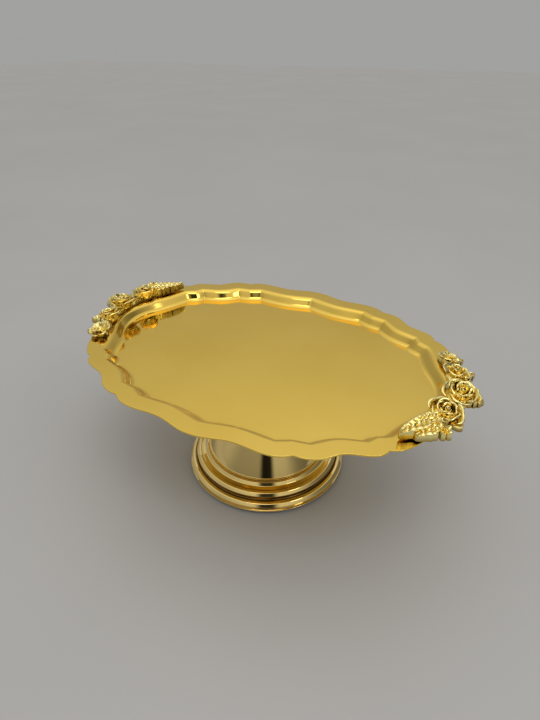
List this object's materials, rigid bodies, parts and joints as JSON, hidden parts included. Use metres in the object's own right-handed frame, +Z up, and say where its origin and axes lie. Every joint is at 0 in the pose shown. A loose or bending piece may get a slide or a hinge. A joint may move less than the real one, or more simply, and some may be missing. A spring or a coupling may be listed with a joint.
{
  "type": "footed serving tray",
  "caption": "Oval cake stand with a serpentine gold rim, cast rose and leaf handles and a weighted trumpet foot that screws on under the tray.",
  "frame": {"origin": "centre of the stand's bounding box on the table plane, under the stem's axis", "axes": "+X along the tray's long axis towards the right handle, +Y along its short axis, +Z up"},
  "size_m": [0.3308, 0.226, 0.1268],
  "materials": {
    "gold_plate": "mirror-polished gold plating on sheet steel",
    "gold_casting": "bright gold plating on die-cast zinc",
    "zinc_steel": "zinc-plated",
    "iron": "as cast",
    "black_steel": "black lacquer",
    "rubber_pad": "matt black",
    "nylon": "natural"
  },
  "bodies": {
    "foot": {"stem_collar": "gold_plate", "jam_nut": "zinc_steel", "stem_cone": "gold_plate", "base_ring": "gold_plate", "ballast_disc": "iron", "base_washer": "zinc_steel", "spring_washer": "zinc_steel", "base_nut": "zinc_steel", "tie_rod": "zinc_steel", "bottom_cover": "black_steel", "non_slip_pad": "rubber_pad", "cover_screw_1": "zinc_steel", "cover_screw_2": "zinc_steel", "cover_screw_3": "zinc_steel"},
    "seat": {"seat_washer": "nylon"},
    "tray": {"tray_shell": "gold_plate", "backing_plate": "zinc_steel", "threaded_boss": "zinc_steel", "handle_casting_right": "gold_casting", "handle_casting_left": "gold_casting", "handle_washer_right_a": "zinc_steel", "handle_washer_right_b": "zinc_steel", "handle_washer_left_a": "zinc_steel", "handle_washer_left_b": "zinc_steel", "handle_screw_right_a": "zinc_steel", "handle_screw_right_b": "zinc_steel", "handle_screw_left_a": "zinc_steel", "handle_screw_left_b": "zinc_steel"}
  },
  "joints": [
    {"name": "tray_turn", "type": "hinge", "parent": "foot", "child": "seat", "pos_m": [0, 0, 0.1], "axis": [0, 0, 1], "range_deg": [0, 1710]},
    {"name": "tray_lift", "type": "slide", "parent": "seat", "child": "tray", "axis": [0, 0, 1], "range_m": [0, 0.00595]}
  ],
  "couplings": [
    {"joint": "tray_lift", "follows": "tray_turn", "m_per_rad": 0.00019894}
  ]
}
